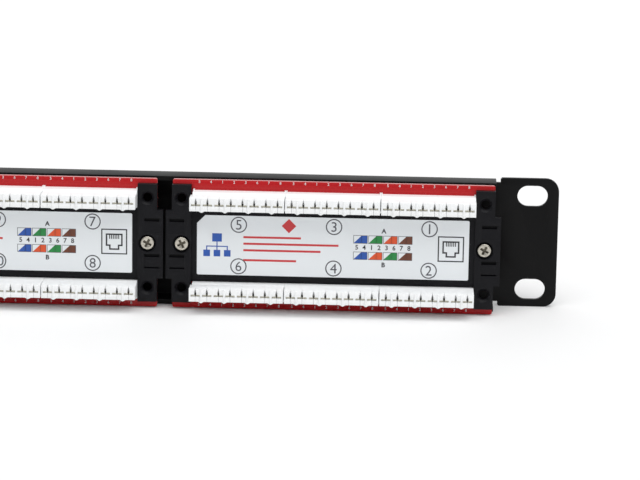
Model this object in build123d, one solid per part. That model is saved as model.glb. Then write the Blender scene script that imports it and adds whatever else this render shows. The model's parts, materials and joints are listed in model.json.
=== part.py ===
from build123d import *
import os

# Rack-mount copper patch panel, one rack unit high and 19 inches wide, with 24 ports in four modules of six.
#
# Axes: +X runs along the panel, from the port 1 end at -X to the port 24 end at +X, +Z is up, and -Y is the
# front, where patch cords plug in. +Y is the rear, where installed cables are punched down.
# Origin: the centre of the four rack slots, on the rear face of the front plate, which bears on the rack's
# rails.
# All sizes are in millimetres.
#
# How it goes together: threaded standoffs are pressed into the sheet steel panel. Each module is a circuit
# board with six jacks on its front and two rows of punch-down blocks on its rear. A plastic frame covers the
# board's middle and ends, and two screws clamp the frame and the board to a pair of standoffs. On the front,
# a holder above each six jacks keeps a paper strip behind a clear cover that pulls off.

# --- Rack standard and steel panel -------------------------------------------------------------------------
RACK_UNIT = 44.45               # height of one rack unit
UNIT_GAP = 0.79                 # how much lower the panel is than its rack unit
SLOT_UNIT_STEP = 12.7           # a unit less this is the distance between its outer two hole rows
SLOT_EDGE_X = 8.75              # slot centre to the plate's end
SLOT_LENGTH = 10.1
SLOT_WIDTH = 7.0
EAR_WIDTH = 19.5                # flat ear, from the bend relief to the plate's end
EAR_CORNER_RADIUS = 4.5
EAR_INNER_CHAMFER = 0.5         # corner of the ear beside the bend relief
RELIEF_WIDTH = 1.6              # notch between an ear and a flange
RELIEF_DEPTH = 1.6
SHEET = 1.5                     # steel thickness
FLANGE_DEPTH = 9.0              # how far each flange reaches behind the plate's rear face
FLANGE_STEP = 0.13              # each flange's outer face is this much inside the ears' edge
BEND_INSIDE_RADIUS = 0.5
NEAR = 0.01                     # how close an edge has to be to count as lying at a place
PAST = 1.0                      # how far a cutting shape runs past what it cuts
FLANGE_END_INSET = 2.06         # flange end inside the outermost module's pitch line

# --- Module layout -----------------------------------------------------------------------------------------
MODULES = 4
PORTS_PER_MODULE = 6
BLOCKS_PER_ROW = 3
MODULE_GAP = 0.93               # between the frames of neighbouring modules
END_PIECE_WIDTH = 6.36          # frame end piece, along X
WING_WIDTH = 2.0                # middle of a frame end, past its end piece

# --- Circuit board -----------------------------------------------------------------------------------------
BOARD_THICKNESS = 1.6
BOARD_EDGE_INSET = 0.1          # board edge inside the flanges' outer faces
BOARD_CORNER_RADIUS = 0.6
BOARD_END_INSET = 0.1           # board's end inside the outer edge of the frame's end piece
PIN_HOLE_DIAMETER = 0.9
PIN_TAIL = 0.8                  # how far a contact's pin stands through the board

# --- Punch-down blocks and their contacts ------------------------------------------------------------------
CONTACT_PITCH = 3.81
CONTACTS_PER_BLOCK = 8
BLOCK_END_WALL = 0.36           # added to each end of eight pitches
BLOCK_GAP = 0.06                # between the bases of neighbouring blocks in a row
BLOCK_SEAM = 0.17               # teeth shorter than the base, at each end
BLOCK_HEIGHT = 10.65            # from the board's rear face to the block's punch-down face
BLOCK_BASE_HEIGHT = 4.0
BLOCK_SHOULDER_HEIGHT = 0.7
ROW_START_INSET = 0.05          # but base shorter than the teeth at a row's -X end
ROW_FINISH_INSET = 0.55         # and at its +X end
BLOCK_BOARD_MARGIN = 3.4        # board edge to the block's base
BLOCK_BASE_OUTER = 3.07         # base, from the contact line towards the board's edge
BLOCK_BASE_INNER = 2.68         # base, from the contact line towards the board's middle
BLOCK_TOOTH_HALF = 2.33         # teeth, each side of the contact line
WIRE_SLOT_DEPTH = 2.4
WIRE_SLOT_UPPER = 0.1           # slot's width at its upper end, which pinches the wire
WIRE_SLOT_NECK = 0.66           # just below that end
WIRE_SLOT_NECK_UP = 1.25        # where that is, above the contact line
WIRE_SLOT_MIDDLE = 0.8          # at the contact line
WIRE_SLOT_LOWER = 0.1           # below the contact
RIB_DEPTH = 0.35                # rib on the block's lower side, in the middle of each pair of slots
RIB_ROOT_WIDTH = 2.0
RIB_TIP_WIDTH = 0.5
SPLITTER_HEIGHT = 0.5           # pointed ridge between the two wires of a pair, above the face
SPLITTER_ROOT_WIDTH = 1.3
SPLITTER_TIP_WIDTH = 0.2
CORNER_FOOT = 0.45              # small foot at each end of a block's base
CORNER_FOOT_WIDTH = 0.45
CORNER_FOOT_HEIGHT = 1.6
IDC_PLATE_WIDTH = 3.0           # flat contact that cuts through a wire's insulation
IDC_PLATE_THICKNESS = 0.6
IDC_PLATE_CLEARANCE = 0.05
IDC_PLATE_BELOW_FACE = 0.6
IDC_SLIT_WIDTH = 0.25
IDC_SLIT_DEPTH = 4.6
IDC_MOUTH_WIDTH = 0.4
IDC_MOUTH_DEPTH = 0.5
IDC_SEAT = 0.5                  # plate's lower edge above the board
IDC_PIN_WIDTH = 0.6

# --- Rear frame, its label and its screws ------------------------------------------------------------------
BAR_THICKNESS = 1.2             # flat bar between the two rows of blocks
BAR_BLOCK_CLEARANCE = 0.1
END_THICKNESS = 2.4             # end pieces, thicker than the bar
END_TOP_MARGIN = 1.4            # board's upper edge to an end piece
END_BOTTOM_MARGIN = 2.1         # board's lower edge to an end piece
END_ROW_CLEARANCE = 0.1         # row's longer end to the end piece
WING_STEP = 0.85                # wing's upper and lower ends inside the bar's edges
LATCH_TOP = 8.5                 # recessed latch windows, up and down from the screw
LATCH_HEIGHT = 5.0
LATCH_DEPTH = 0.3
LATCH_INSET = 2.2               # window's closed end, from the end piece's inner side
LATCH_SLIT = 1.2                # deep slit along each window's upper edge
LATCH_LOW_SLIT = 0.5            # and along the lower window's lower edge
LATCH_SLIT_DEPTH = 1.9
LATCH_SLIT_END = 1.2            # slits end this far inside the wing's edge
CORNER_HOLE_DIAMETER = 3.0      # countersunk holes beside the block rows, through frame and board
CORNER_HOLE_MOUTH = 4.7
CORNER_HOLE_MOUTH_DEPTH = 0.85
CORNER_HOLE_CLEARANCE = 0.5     # radial, in the board
CORNER_HOLE_RISE = 0.45         # each above its row's contact line
SCREW_SEAT = 0.7                # frame left under a screw head
SCREW_RISE = 0.3                # screws and standoffs above the board's middle
SCREW_DIAMETER = 2.9
SCREW_CLEARANCE = 0.15          # radial, in the frame and the board
SCREW_THREAD_LENGTH = 6.0       # screw inside its standoff
SCREW_TURN = 28                 # angle at which a driven screw's cross recess stops
HEAD_DIAMETER = 4.7
HEAD_HEIGHT = 1.4
HEAD_WELL_DIAMETER = 5.9
HEAD_EDGE_RADIUS = 0.5
CROSS_WIDTH = 0.75
CROSS_SPAN = 2.9
CROSS_DEPTH = 0.9
LABEL_MARGIN_X = 1.9            # label's end to the end piece
LABEL_MARGIN_Z = 2.3            # label's long edge to the bar's edge
LABEL_THICKNESS = 0.12
LABEL_CORNER_CUT = 2.7
LABEL_CORNER_RADIUS = 0.5

# --- Standoffs ---------------------------------------------------------------------------------------------
STANDOFF_LENGTH = 11.8          # steel plate's rear face to the circuit board
STANDOFF_DIAMETER = 5.0
SHANK_DIAMETER = 4.0            # pressed into the sheet
BORE_END_WALL = 2.0             # closed front end of the threaded bore
STANDOFF_WEB = 1.02             # steel between a standoff and the jack window

# --- Jacks -------------------------------------------------------------------------------------------------
JACK_CENTRE_Z = -3.0
JACK_GAP = 0.3                  # between neighbouring jacks
JACK_STAND = 1.2                # nose in front of the steel plate
JACK_WINDOW_CLEARANCE = 0.2
JACK_SHOULDER_STEP = 0.5        # body wider than its nose, behind the plate, at top and bottom
JACK_SHOULDER_GAP = 0.3
PLUG_WIDTH = 11.9               # mouth for the plug's body
PLUG_HEIGHT = 6.8
PLUG_DEPTH = 12.3
KEY_WIDTH = 6.1                 # two steps of the latch keyway, below the plug's body
KEY_HEIGHT = 1.6
KEY_INNER_WIDTH = 3.3
KEY_INNER_HEIGHT = 1.4
JACK_FLOOR = 1.0                # wall under the keyway
WIRES_PER_JACK = 8
WIRE_PITCH = 1.016
WIRE_SIZE = 0.36
WIRE_GROOVE = 0.56
WIRE_DEPTH_ABOVE_PLUG = 0.95    # wire run above the plug's mouth
WIRE_ROW_STEP = 1.55            # second row of solder pins, further out
WIRE_ROOF = 0.75                # wall above the second row's groove
WIRE_BEND_RADIUS = 0.45
WIRE_FRONT_DROP = 1.0           # height of a wire's front bend
WIRE_STEP_INSET = 0.9           # step between the two rows of pins, in front of the board
WIRE_PIN_SHORT = 0.1            # wire's solder end inside the board's rear face
WIRE_GROOVE_OVERLAP = 0.1       # groove's cut reaches this far into the mouth
WIRE_FRONT_INSET = 3.2          # wires' front bend behind the nose
WIRE_TIP_INSET = 11.0           # wires' free ends behind the nose
WIRE_TIP_DROP = 3.1             # wires' free ends below their run
PEG_DIAMETER = 2.4              # round peg that places a jack on the board
PEG_CLEARANCE = 0.1
PEG_SPACING = 10.2
PEG_BELOW_CENTRE = 3.6

# --- Front label holder, paper strip and clear cover -------------------------------------------------------
HOLDER_TOP_MARGIN = 4.4         # panel's upper edge to the holder
HOLDER_HEIGHT = 9.2
HOLDER_END_MARGIN = 0.9         # holder shorter than the row of jacks, at each end
HOLDER_THICKNESS = 2.4
HOLDER_RIM = 1.1
HOLDER_FLOOR = 0.7
HOLDER_CORNER_RADIUS = 1.0
HOLDER_PEG_DIAMETER = 3.0
HOLDER_PEG_INSET = 9.0
HOLDER_BARB_DIAMETER = 3.6
HOLDER_BARB_TIP = 1.8
HOLDER_BARB_LENGTH = 1.2
PAPER_THICKNESS = 0.2
PAPER_MARGIN = 0.25
COVER_THICKNESS = 1.1
COVER_CLEARANCE = 0.12
COVER_EDGE_CHAMFER = 0.28
COVER_TAB_WIDTH = 7.0           # finger tab at the cover's end, and the gap for it in the holder's rim
COVER_TAB_THICKNESS = 0.55
COVER_TAB_ROOT = 1.1            # how far the tab runs onto the cover
COVER_TAB_CLEARANCE = 0.3

# --- Derived layout ----------------------------------------------------------------------------------------
block_width = CONTACTS_PER_BLOCK * CONTACT_PITCH + 2 * BLOCK_END_WALL
block_pitch = block_width + BLOCK_GAP
row_half = BLOCKS_PER_ROW * block_pitch / 2 - BLOCK_GAP / 2 - BLOCK_SEAM - ROW_START_INSET
end_inner = row_half + END_ROW_CLEARANCE
end_outer = end_inner + END_PIECE_WIDTH
wing_outer = end_outer + WING_WIDTH
module_pitch = 2 * wing_outer + MODULE_GAP
screw_x = (end_inner + end_outer) / 2

flange_half_length = MODULES * module_pitch / 2 - FLANGE_END_INSET
panel_half_width = flange_half_length + RELIEF_WIDTH + EAR_WIDTH
panel_half_height = (RACK_UNIT - UNIT_GAP) / 2
flange_outer = panel_half_height - FLANGE_STEP
slot_x = panel_half_width - SLOT_EDGE_X
slot_z = (RACK_UNIT - SLOT_UNIT_STEP) / 2

board_half_width = end_outer - BOARD_END_INSET
board_half_height = flange_outer - BOARD_EDGE_INSET
board_front = STANDOFF_LENGTH
board_rear = board_front + BOARD_THICKNESS
contact_line = board_half_height - BLOCK_BOARD_MARGIN - BLOCK_BASE_OUTER
bar_half = contact_line - BLOCK_BASE_INNER - BAR_BLOCK_CLEARANCE
bar_face = board_rear + BAR_THICKNESS
end_face = board_rear + END_THICKNESS
head_seat = board_rear + SCREW_SEAT

jack_row_half = screw_x - STANDOFF_DIAMETER / 2 - STANDOFF_WEB - JACK_WINDOW_CLEARANCE
jack_pitch = 2 * jack_row_half / PORTS_PER_MODULE
jack_half_width = (jack_pitch - JACK_GAP) / 2
nose_front = -SHEET - JACK_STAND
plug_top = JACK_CENTRE_Z + PLUG_HEIGHT / 2
plug_bottom = plug_top - PLUG_HEIGHT
key_bottom = plug_bottom - KEY_HEIGHT - KEY_INNER_HEIGHT
wire_z = plug_top + WIRE_DEPTH_ABOVE_PLUG
wire_turn = board_front - WIRE_STEP_INSET
nose_top = wire_z + WIRE_ROW_STEP + WIRE_GROOVE / 2 + WIRE_ROOF
nose_bottom = key_bottom - JACK_FLOOR
window_top = nose_top + JACK_WINDOW_CLEARANCE
window_bottom = nose_bottom - JACK_WINDOW_CLEARANCE

holder_top = panel_half_height - HOLDER_TOP_MARGIN
holder_bottom = holder_top - HOLDER_HEIGHT
holder_half = jack_row_half - HOLDER_END_MARGIN
holder_front = -SHEET - HOLDER_THICKNESS
holder_floor = -SHEET - HOLDER_FLOOR
holder_peg_x = holder_half - HOLDER_PEG_INSET
holder_z = (holder_top + holder_bottom) / 2


def slab(x0, x1, y0, y1, z0, z1):
    """A box between two corners."""
    return Pos((x0 + x1) / 2, (y0 + y1) / 2, (z0 + z1) / 2) * Box(x1 - x0, y1 - y0, z1 - z0)


def rod(diameter, y0, y1, x=0.0, z=0.0):
    """A cylinder along Y."""
    return Pos(x, (y0 + y1) / 2, z) * Rot(90, 0, 0) * Cylinder(diameter / 2, y1 - y0)


def cone(diameter_low, diameter_high, y0, y1, x=0.0, z=0.0):
    """A cone along Y, diameter_low at y0 and diameter_high at y1."""
    shape = Cone(diameter_low / 2, diameter_high / 2, y1 - y0)
    return Pos(x, (y0 + y1) / 2, z) * Rot(-90, 0, 0) * shape


def prism_y(points, y0, y1):
    """An outline of (x, z) points, run along Y."""
    face = make_face(Polyline(*[(x, y0, z) for x, z in points], close=True))
    return extrude(face, amount=y1 - y0, dir=(0, 1, 0))


def prism_x(points, x0, x1):
    """An outline of (y, z) points, run along X."""
    face = make_face(Polyline(*[(x0, y, z) for y, z in points], close=True))
    return extrude(face, amount=x1 - x0, dir=(1, 0, 0))


def prism_z(points, z0, z1):
    """An outline of (x, y) points, run along Z."""
    face = make_face(Polyline(*[(x, y, z0) for x, y in points], close=True))
    return extrude(face, amount=z1 - z0, dir=(0, 0, 1))


def module_centres():
    """X of each module's middle, from the port 1 end."""
    return [(n - (MODULES - 1) / 2) * module_pitch for n in range(MODULES)]


def jack_offsets():
    """X of each jack from its module's middle."""
    return [(n - (PORTS_PER_MODULE - 1) / 2) * jack_pitch for n in range(PORTS_PER_MODULE)]


def block_offsets():
    """X of each punch-down block from its module's middle."""
    return [(n - (BLOCKS_PER_ROW - 1) / 2) * block_pitch for n in range(BLOCKS_PER_ROW)]


def contact_offsets():
    """X of each contact from its block's middle."""
    return [(n - (CONTACTS_PER_BLOCK - 1) / 2) * CONTACT_PITCH for n in range(CONTACTS_PER_BLOCK)]


def wire_offsets():
    """X of each spring wire from its jack's middle, and whether its pin is in the outer row."""
    return [((n - (WIRES_PER_JACK - 1) / 2) * WIRE_PITCH, n % 2 == 1) for n in range(WIRES_PER_JACK)]


# --- Steel panel -------------------------------------------------------------------------------------------
def steel_panel():
    """Front plate with two ears, bent back along its upper and lower edges into shallow flanges."""
    outside_radius = BEND_INSIDE_RADIUS + SHEET
    inner = flange_outer - SHEET
    profile = [(FLANGE_DEPTH, flange_outer), (-SHEET, flange_outer), (-SHEET, -flange_outer),
               (FLANGE_DEPTH, -flange_outer), (FLANGE_DEPTH, -inner), (0, -inner), (0, inner),
               (FLANGE_DEPTH, inner)]
    channel = prism_x(profile, -flange_half_length, flange_half_length)
    along_x = channel.edges().filter_by(Axis.X)
    channel = fillet(along_x.filter_by_position(Axis.Y, -SHEET - NEAR, -SHEET + NEAR), outside_radius)
    along_x = channel.edges().filter_by(Axis.X)
    inside_corners = [edge for edge in along_x.filter_by_position(Axis.Y, -NEAR, NEAR)
                      if abs(abs(edge.center().Z) - inner) < NEAR]
    channel = fillet(inside_corners, BEND_INSIDE_RADIUS)

    neck_half = panel_half_height - RELIEF_DEPTH
    ear_start = flange_half_length + RELIEF_WIDTH
    panel = channel
    for side in (-1, 1):
        neck = slab(flange_half_length, ear_start, -SHEET, 0, -neck_half, neck_half)
        ear = slab(ear_start, panel_half_width, -SHEET, 0, -panel_half_height, panel_half_height)
        upright = ear.edges().filter_by(Axis.Y)
        ear = fillet(upright.group_by(Axis.X)[-1], EAR_CORNER_RADIUS)
        upright = ear.edges().filter_by(Axis.Y)
        ear = chamfer(upright.group_by(Axis.X)[0], EAR_INNER_CHAMFER)
        neck = neck + ear
        for z in (-slot_z, slot_z):
            slot = Pos(slot_x, -SHEET / 2, z) * Rot(90, 0, 0) * extrude(
                SlotOverall(SLOT_LENGTH, SLOT_WIDTH), amount=SHEET, both=True)
            neck = neck - slot
        panel = panel + (neck if side > 0 else mirror(neck, about=Plane.YZ))

    for centre in module_centres():
        window = slab(centre - jack_row_half - JACK_WINDOW_CLEARANCE,
                      centre + jack_row_half + JACK_WINDOW_CLEARANCE,
                      -SHEET - PAST, PAST, window_bottom, window_top)
        panel = panel - window
        for side in (-1, 1):
            panel = panel - rod(SHANK_DIAMETER, -SHEET - PAST, PAST, centre + side * screw_x, SCREW_RISE)
            panel = panel - rod(HOLDER_PEG_DIAMETER, -SHEET - PAST, PAST,
                                centre + side * holder_peg_x, holder_z)
    return panel


def standoff():
    """Round threaded standoff whose shank is pressed into the sheet from the rear."""
    body = rod(STANDOFF_DIAMETER, 0, STANDOFF_LENGTH) + rod(SHANK_DIAMETER, -SHEET, 0)
    return body - rod(SCREW_DIAMETER, BORE_END_WALL, STANDOFF_LENGTH)


# --- Circuit board -----------------------------------------------------------------------------------------
def circuit_board():
    """Board with holes for two screws, the jacks' pins and pegs, and the punch-down contacts' pins."""
    board = slab(-board_half_width, board_half_width, board_front, board_rear,
                 -board_half_height, board_half_height)
    board = fillet(board.edges().filter_by(Axis.Y), BOARD_CORNER_RADIUS)
    holes = [(side * screw_x, SCREW_RISE, SCREW_DIAMETER + 2 * SCREW_CLEARANCE) for side in (-1, 1)]
    holes += [(side_x * screw_x, side_z * contact_line + CORNER_HOLE_RISE,
               CORNER_HOLE_DIAMETER + 2 * CORNER_HOLE_CLEARANCE) for side_x in (-1, 1) for side_z in (-1, 1)]
    for block in block_offsets():
        for contact in contact_offsets():
            for side in (-1, 1):
                holes.append((block + contact, side * contact_line, PIN_HOLE_DIAMETER))
    for jack in jack_offsets():
        for wire, outer_row in wire_offsets():
            holes.append((jack + wire, wire_z + outer_row * WIRE_ROW_STEP, PIN_HOLE_DIAMETER))
        for side in (-1, 1):
            holes.append((jack + side * PEG_SPACING / 2, JACK_CENTRE_Z - PEG_BELOW_CENTRE,
                          PEG_DIAMETER + 2 * PEG_CLEARANCE))
    tools = [rod(diameter, board_front - PAST, board_rear + PAST, x, z) for x, z, diameter in holes]
    return board - Compound(children=tools)


# --- Punch-down block and contact, both about the contact line, with +Z towards the board's edge ------------
def punch_down_block(first, last, up):
    """White block of eight wire slots between teeth, with a pocket across each slot for its contact.

    Every other tooth carries a pointed ridge, which parts the two wires of a pair, and a rib on its lower
    side. A row's first and last block have a shorter base at the row's end. Up is 1 where +Z is the panel's
    upper side, or else -1.
    """
    shoulder = BLOCK_BASE_HEIGHT + BLOCK_SHOULDER_HEIGHT
    base_profile = [(0, -BLOCK_BASE_INNER), (0, BLOCK_BASE_OUTER), (BLOCK_BASE_HEIGHT, BLOCK_BASE_OUTER),
                    (shoulder, BLOCK_TOOTH_HALF), (shoulder, -BLOCK_TOOTH_HALF),
                    (BLOCK_BASE_HEIGHT, -BLOCK_BASE_INNER)]
    base_half = block_width / 2
    teeth_half = base_half - BLOCK_SEAM
    low_inset, high_inset = (ROW_START_INSET, ROW_FINISH_INSET)[::up]
    low = low_inset - teeth_half if first else -base_half
    high = teeth_half - high_inset if last else base_half
    side = BLOCK_TOOTH_HALF
    block = prism_x(base_profile, low, high)
    block = block + slab(-teeth_half, teeth_half, shoulder, BLOCK_HEIGHT, -side, side)
    for foot_low, foot_high in ((low, low + CORNER_FOOT_WIDTH), (high - CORNER_FOOT_WIDTH, high)):
        block = block + slab(foot_low, foot_high, 0, CORNER_FOOT_HEIGHT, 0, BLOCK_BASE_OUTER + CORNER_FOOT)

    tip = BLOCK_HEIGHT + SPLITTER_HEIGHT
    root, point = SPLITTER_ROOT_WIDTH / 2, SPLITTER_TIP_WIDTH / 2
    for x in contact_offsets()[::2]:
        middle = x + CONTACT_PITCH / 2
        ridge = [(middle - root, BLOCK_HEIGHT), (middle + root, BLOCK_HEIGHT), (middle + point, tip),
                 (middle - point, tip)]
        block = block + prism_z(ridge, -side, side)

    floor = BLOCK_HEIGHT - WIRE_SLOT_DEPTH
    upper, neck, lower = WIRE_SLOT_UPPER / 2, WIRE_SLOT_NECK / 2, WIRE_SLOT_LOWER / 2
    widest, neck_up, past = WIRE_SLOT_MIDDLE / 2, WIRE_SLOT_NECK_UP, side + PAST
    slot = [(-lower, -past), (lower, -past), (lower, 0), (widest, 0), (neck, neck_up), (upper, side),
            (upper, past), (-upper, past), (-upper, side), (-neck, neck_up), (-widest, 0), (-lower, 0)]
    slot = [(x, up * z) for x, z in slot]
    pocket_x = IDC_PLATE_WIDTH / 2 + IDC_PLATE_CLEARANCE
    pocket_z = IDC_PLATE_THICKNESS / 2 + IDC_PLATE_CLEARANCE
    for x in contact_offsets():
        block = block - Pos(x, 0, 0) * prism_y(slot, floor, BLOCK_HEIGHT + PAST)
        block = block - slab(x - pocket_x, x + pocket_x, -PAST, BLOCK_HEIGHT + PAST, -pocket_z, pocket_z)

    # The lower side is cut back between the ribs.
    rib_root, rib_tip = RIB_ROOT_WIDTH / 2, RIB_TIP_WIDTH / 2
    ribs = [x + CONTACT_PITCH / 2 for x in contact_offsets()[::2]]
    starts = [-base_half - PAST] + ribs
    ends = ribs + [base_half + PAST]
    for start, end in zip(starts, ends):
        recess = [(start + rib_tip, -past), (start + rib_tip, -side), (start + rib_root, RIB_DEPTH - side),
                  (end - rib_root, RIB_DEPTH - side), (end - rib_tip, -side), (end - rib_tip, -past)]
        block = block - prism_y([(x, up * z) for x, z in recess], shoulder, tip + PAST)
    return block


def idc_contact():
    """Flat forked contact: two edges that grip a wire, above a pin that is soldered into the board."""
    top = BLOCK_HEIGHT - IDC_PLATE_BELOW_FACE
    half, pin = IDC_PLATE_WIDTH / 2, IDC_PIN_WIDTH / 2
    slit, mouth = IDC_SLIT_WIDTH / 2, IDC_MOUTH_WIDTH / 2
    tail = -BOARD_THICKNESS - PIN_TAIL
    outline = [(-pin, tail), (pin, tail), (pin, IDC_SEAT), (half, IDC_SEAT), (half, top), (mouth, top),
               (slit, top - IDC_MOUTH_DEPTH), (slit, top - IDC_SLIT_DEPTH), (-slit, top - IDC_SLIT_DEPTH),
               (-slit, top - IDC_MOUTH_DEPTH), (-mouth, top), (-half, top), (-half, IDC_SEAT),
               (-pin, IDC_SEAT)]
    return prism_z(outline, -IDC_PLATE_THICKNESS / 2, IDC_PLATE_THICKNESS / 2)


def in_both_rows(upper, lower, xs):
    """A piece for each x, in the upper row and, turned half round, in the lower row."""
    above = [Pos(x, board_rear, contact_line) * piece for x, piece in zip(xs, upper)]
    below = [Pos(-x, board_rear, -contact_line) * Rot(0, 180, 0) * piece for x, piece in zip(xs, lower)]
    return above + below


def row_of_blocks(up):
    """The blocks of one row."""
    last = BLOCKS_PER_ROW - 1
    return [punch_down_block(n == 0, n == last, up) for n in range(BLOCKS_PER_ROW)]


# --- Rear frame, label and screw ---------------------------------------------------------------------------
def rear_frame():
    """Plastic frame: a flat bar for the label between the blocks, and thicker ends with the screw wells."""
    frame = slab(-end_inner, end_inner, board_rear, bar_face, -bar_half, bar_half)
    end_top = board_half_height - END_TOP_MARGIN
    end_bottom = -board_half_height + END_BOTTOM_MARGIN
    wing_half = bar_half - WING_STEP
    latch_inner = end_inner + LATCH_INSET
    upper_latch = SCREW_RISE + LATCH_TOP
    lower_latch = SCREW_RISE + LATCH_HEIGHT - LATCH_TOP
    for side in (-1, 1):
        end = slab(end_inner, end_outer, board_rear, end_face, end_bottom, end_top)
        end = end + slab(end_outer, wing_outer, board_rear, end_face, -wing_half, wing_half)
        for z in (upper_latch, lower_latch):
            end = end - slab(latch_inner, wing_outer + PAST, end_face - LATCH_DEPTH, end_face + PAST,
                             z - LATCH_HEIGHT, z)
        for z, height in ((upper_latch, LATCH_SLIT), (lower_latch, LATCH_SLIT),
                          (lower_latch - LATCH_HEIGHT + LATCH_LOW_SLIT, LATCH_LOW_SLIT)):
            end = end - slab(latch_inner, wing_outer - LATCH_SLIT_END, end_face - LATCH_SLIT_DEPTH,
                             end_face + PAST, z - height, z)
        end = end - rod(HEAD_WELL_DIAMETER, head_seat, end_face + PAST, screw_x, SCREW_RISE)
        end = end - rod(SCREW_DIAMETER + 2 * SCREW_CLEARANCE, board_rear - PAST, end_face, screw_x,
                        SCREW_RISE)
        for z in (CORNER_HOLE_RISE - contact_line, CORNER_HOLE_RISE + contact_line):
            end = end - rod(CORNER_HOLE_DIAMETER, board_rear - PAST, end_face, screw_x, z)
            end = end - cone(CORNER_HOLE_DIAMETER, CORNER_HOLE_MOUTH, end_face - CORNER_HOLE_MOUTH_DEPTH,
                             end_face, screw_x, z)
        frame = frame + (end if side > 0 else mirror(end, about=Plane.YZ))
    return frame


def rear_label():
    """Thin sticker on the bar, with one upper corner cut off at the port 5 end."""
    half_x = end_inner - LABEL_MARGIN_X
    half_z = bar_half - LABEL_MARGIN_Z
    outline = [(-half_x, -half_z), (half_x, -half_z), (half_x, half_z - LABEL_CORNER_CUT),
               (half_x - LABEL_CORNER_CUT, half_z), (-half_x, half_z)]
    label = prism_y(outline, bar_face, bar_face + LABEL_THICKNESS)
    square = label.edges().filter_by(Axis.Y).filter_by(
        lambda edge: edge.center().X < 0 or edge.center().Z < 0)
    return fillet(square, LABEL_CORNER_RADIUS)


def screw():
    """Pan-head cross-recess screw, threaded along its whole length."""
    head = rod(HEAD_DIAMETER, head_seat, head_seat + HEAD_HEIGHT)
    head = fillet(head.edges().group_by(Axis.Y)[-1], HEAD_EDGE_RADIUS)
    recess_floor = head_seat + HEAD_HEIGHT - CROSS_DEPTH
    for turn in (0, 90):
        arm = slab(-CROSS_SPAN / 2, CROSS_SPAN / 2, recess_floor, head_seat + HEAD_HEIGHT + PAST,
                   -CROSS_WIDTH / 2, CROSS_WIDTH / 2)
        head = head - Rot(0, turn, 0) * arm
    return head + rod(SCREW_DIAMETER, board_front - SCREW_THREAD_LENGTH, head_seat)


# --- Jack --------------------------------------------------------------------------------------------------
def jack_housing():
    """Jack body with the stepped mouth of an 8-way modular socket, and a comb of grooves for its wires."""
    shoulder_front = JACK_SHOULDER_GAP
    housing = slab(-jack_half_width, jack_half_width, nose_front, board_front, nose_bottom, nose_top)
    housing = housing + slab(-jack_half_width, jack_half_width, shoulder_front, board_front,
                             nose_bottom - JACK_SHOULDER_STEP, nose_top + JACK_SHOULDER_STEP)
    for side in (-1, 1):
        housing = housing + rod(PEG_DIAMETER, board_front, board_rear, side * PEG_SPACING / 2,
                                JACK_CENTRE_Z - PEG_BELOW_CENTRE)
    back = nose_front + PLUG_DEPTH
    half, key, inner = PLUG_WIDTH / 2, KEY_WIDTH / 2, KEY_INNER_WIDTH / 2
    key_step = plug_bottom - KEY_HEIGHT
    mouth = [(-half, plug_top), (-half, plug_bottom), (-key, plug_bottom), (-key, key_step),
             (-inner, key_step), (-inner, key_bottom), (inner, key_bottom), (inner, key_step),
             (key, key_step), (key, plug_bottom), (half, plug_bottom), (half, plug_top)]
    housing = housing - prism_y(mouth, nose_front - PAST, back)

    step_front = wire_turn - WIRE_GROOVE / 2
    groove_front = nose_front + WIRE_FRONT_INSET - WIRE_GROOVE - WIRE_BEND_RADIUS
    top_run = wire_z + WIRE_GROOVE / 2
    for x, outer_row in wire_offsets():
        low, high = x - WIRE_GROOVE / 2, x + WIRE_GROOVE / 2
        housing = housing - slab(low, high, groove_front, board_front, wire_z - WIRE_GROOVE / 2, top_run)
        housing = housing - slab(low, high, groove_front, back, plug_top - WIRE_GROOVE_OVERLAP, top_run)
        if outer_row:
            housing = housing - slab(low, high, step_front, board_front, wire_z, top_run + WIRE_ROW_STEP)
    return housing


def spring_wire(outer_row):
    """Square wire: from its pin in the board, forward along its groove, then back down into the mouth."""
    pin_end = board_rear - WIRE_PIN_SHORT
    front = nose_front + WIRE_FRONT_INSET
    tip = (nose_front + WIRE_TIP_INSET, wire_z - WIRE_TIP_DROP)
    points = [(pin_end, wire_z), (front, wire_z), tip]
    if outer_row:
        points = [(pin_end, wire_z + WIRE_ROW_STEP), (wire_turn, wire_z + WIRE_ROW_STEP),
                  (wire_turn, wire_z), (front, wire_z), tip]
    # The front bend turns nearly half round, so it is made from two corners.
    front_low = (front, wire_z - WIRE_FRONT_DROP)
    points = points[:-1] + [front_low, tip]
    path = FilletPolyline(*[(0, y, z) for y, z in points], radius=WIRE_BEND_RADIUS)
    section = Plane(origin=path @ 0, z_dir=path % 0) * Rectangle(WIRE_SIZE, WIRE_SIZE)
    return sweep(section, path=path)


# --- Front label holder ------------------------------------------------------------------------------------
def label_holder():
    """Shallow tray on the plate's front, held by two barbed pegs, with a gap in its rim at one end."""
    tray = slab(-holder_half, holder_half, holder_front, -SHEET, holder_bottom, holder_top)
    tray = fillet(tray.edges().filter_by(Axis.Y), HOLDER_CORNER_RADIUS)
    tray = tray - slab(-holder_half + HOLDER_RIM, holder_half - HOLDER_RIM, holder_front - PAST, holder_floor,
                       holder_bottom + HOLDER_RIM, holder_top - HOLDER_RIM)
    tab = COVER_TAB_WIDTH / 2 + COVER_TAB_CLEARANCE
    tray = tray - slab(-tab, tab, holder_front - PAST, holder_floor - PAPER_THICKNESS,
                       holder_bottom - PAST, holder_bottom + HOLDER_RIM)
    for side in (-1, 1):
        peg_x = side * holder_peg_x
        tray = tray + rod(HOLDER_PEG_DIAMETER, -SHEET, 0, peg_x, holder_z)
        tray = tray + cone(HOLDER_BARB_DIAMETER, HOLDER_BARB_TIP, 0, HOLDER_BARB_LENGTH,
                           peg_x, holder_z)
    return tray


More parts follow.
